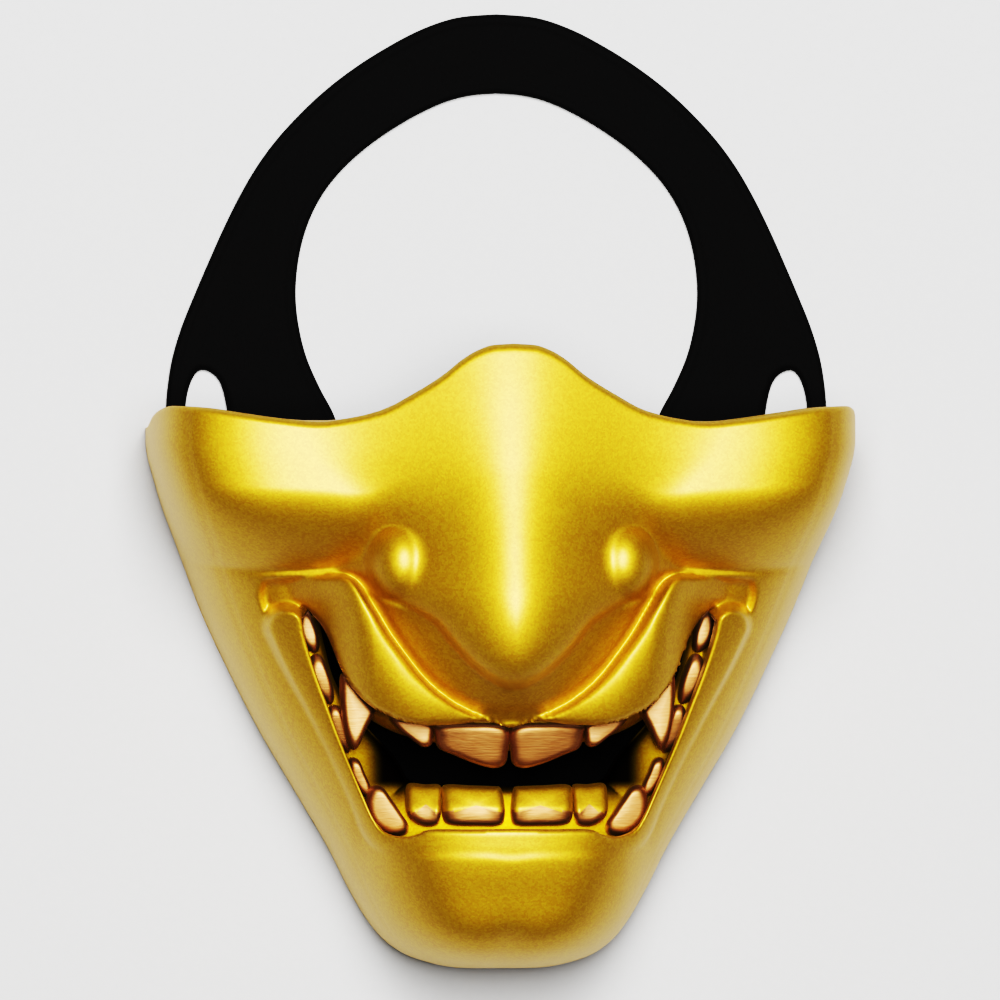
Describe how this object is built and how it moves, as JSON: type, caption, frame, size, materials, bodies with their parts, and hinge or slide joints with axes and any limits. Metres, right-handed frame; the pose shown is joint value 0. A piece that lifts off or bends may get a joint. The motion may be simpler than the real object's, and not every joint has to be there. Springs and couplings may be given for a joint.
{
  "type": "samurai half face mask",
  "caption": "Demon-faced half mask from nose bridge to chin, with a snarling mouth of copper teeth and fangs, and a black head strap spread behind it.",
  "frame": {"origin": "on the resting plane, in the middle of the box round the mask and its strap; the rear rim and the strap lie on z = 0", "axes": "+X to the right across the face as seen from the front, +Y up the face towards the strap, +Z out of the face"},
  "size_m": [0.176, 0.239, 0.0977],
  "materials": {
    "gold_paint": "metallic gold flake paint, satin",
    "copper_paint": "brushed-on metallic copper paint, satin",
    "black_cloth": "matt black cloth on thin foam",
    "black_neoprene": "matt black neoprene with a smooth skin"
  },
  "bodies": {
    "root": {"face_shell": "gold_paint", "upper_gum": "gold_paint", "lower_gum": "gold_paint", "mouth_backing": "black_cloth", "head_strap": "black_neoprene", "upper_incisor_left": "copper_paint", "upper_incisor_right": "copper_paint", "upper_lateral_left": "copper_paint", "upper_lateral_right": "copper_paint", "upper_fang_left": "copper_paint", "upper_fang_right": "copper_paint", "lower_incisor_left": "copper_paint", "lower_incisor_right": "copper_paint", "lower_lateral_left": "copper_paint", "lower_lateral_right": "copper_paint", "lower_canine_left": "copper_paint", "lower_canine_right": "copper_paint", "side_tooth_1_left": "copper_paint", "side_tooth_1_right": "copper_paint", "side_tooth_2_left": "copper_paint", "side_tooth_2_right": "copper_paint", "side_tooth_3_left": "copper_paint", "side_tooth_3_right": "copper_paint", "side_tooth_4_left": "copper_paint", "side_tooth_4_right": "copper_paint"}
  },
  "joints": []
}
